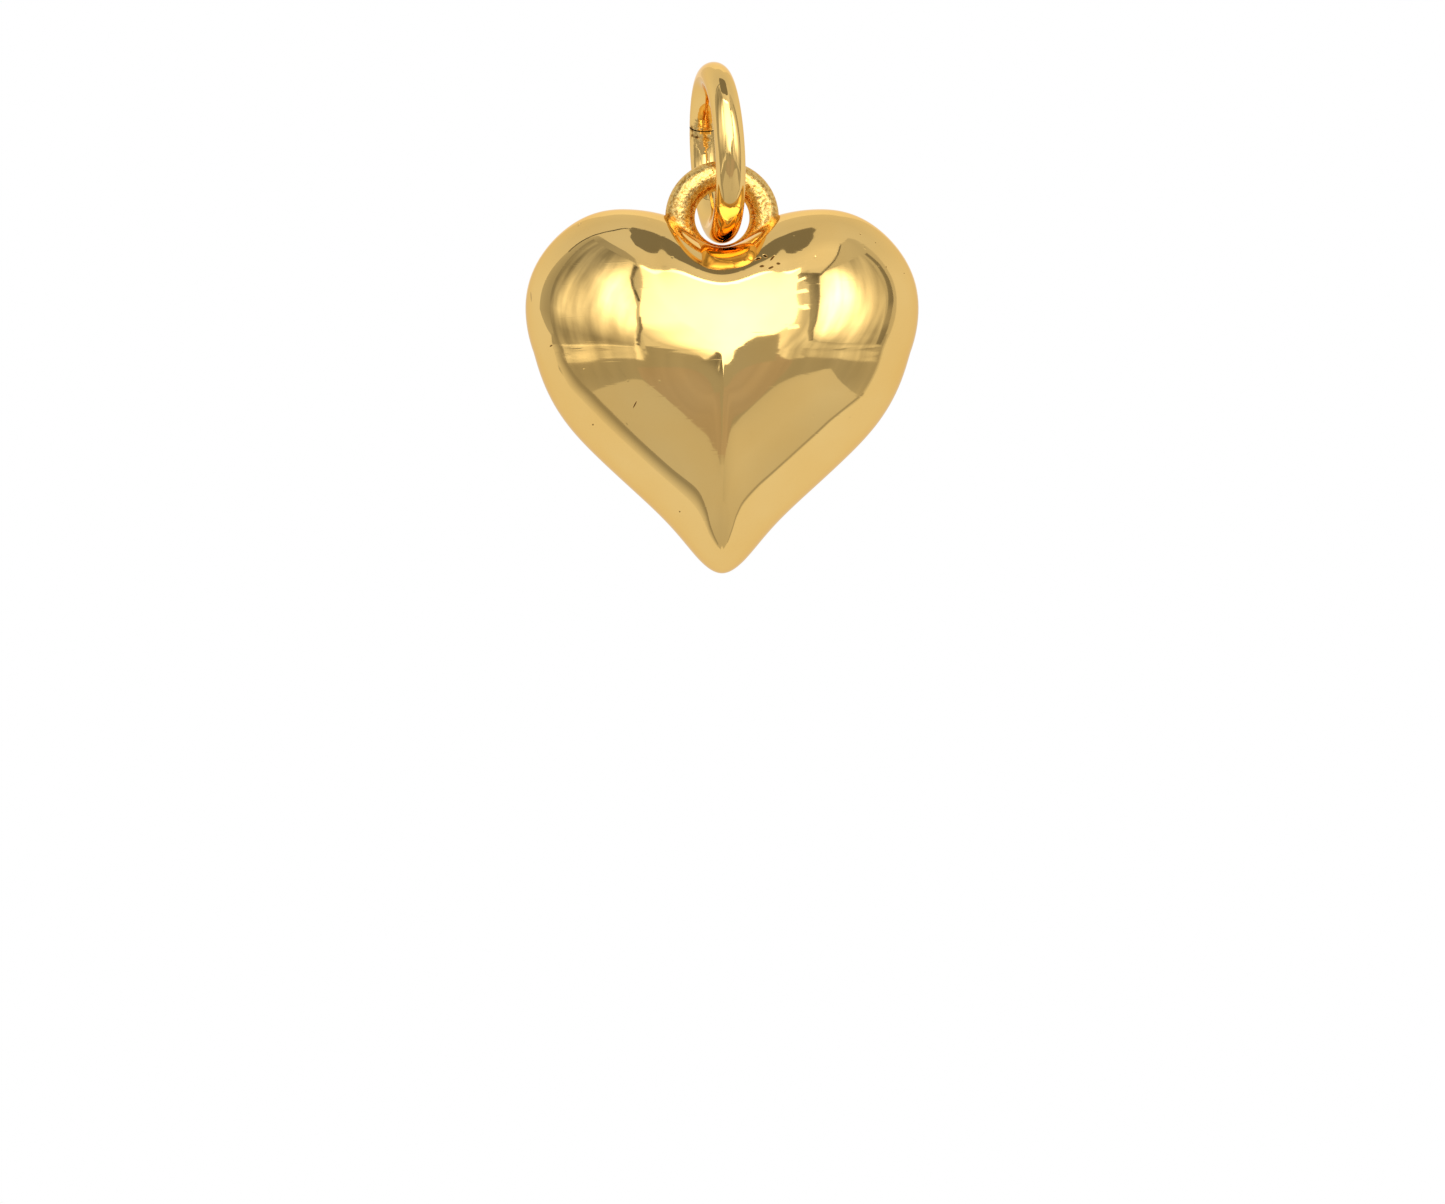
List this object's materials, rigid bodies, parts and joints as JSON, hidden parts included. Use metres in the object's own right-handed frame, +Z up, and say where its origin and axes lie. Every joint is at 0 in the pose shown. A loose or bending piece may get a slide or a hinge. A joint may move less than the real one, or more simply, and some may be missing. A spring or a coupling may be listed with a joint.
{
  "type": "puffy heart pendant",
  "caption": "Solid puffed heart charm with a cast eyelet in its cleft, swaying on a round wire jump ring with a butt split.",
  "frame": {"origin": "inner top of the jump ring, where the chain that holds the pendant bears", "axes": "+Z up as it hangs, front of the heart facing -Y, +X to the right as seen from the front"},
  "size_m": [0.0173, 0.01, 0.0225],
  "materials": {
    "cast_gold_plate": "cast brass, gold plated, polished to a mirror on the heart and left grainy on the front of the eyelet",
    "wire_gold_plate": "drawn brass wire, gold plated and bright"
  },
  "bodies": {
    "ring": {"jump_ring": "wire_gold_plate"},
    "charm": {"heart": "cast_gold_plate"}
  },
  "joints": [
    {"name": "heart_sway", "type": "hinge", "parent": "ring", "child": "charm", "pos_m": [0.00037, 0, -0.00604], "axis": [-0.1647, 0.9863, -0.0101], "range_deg": [-60, 60]}
  ]
}
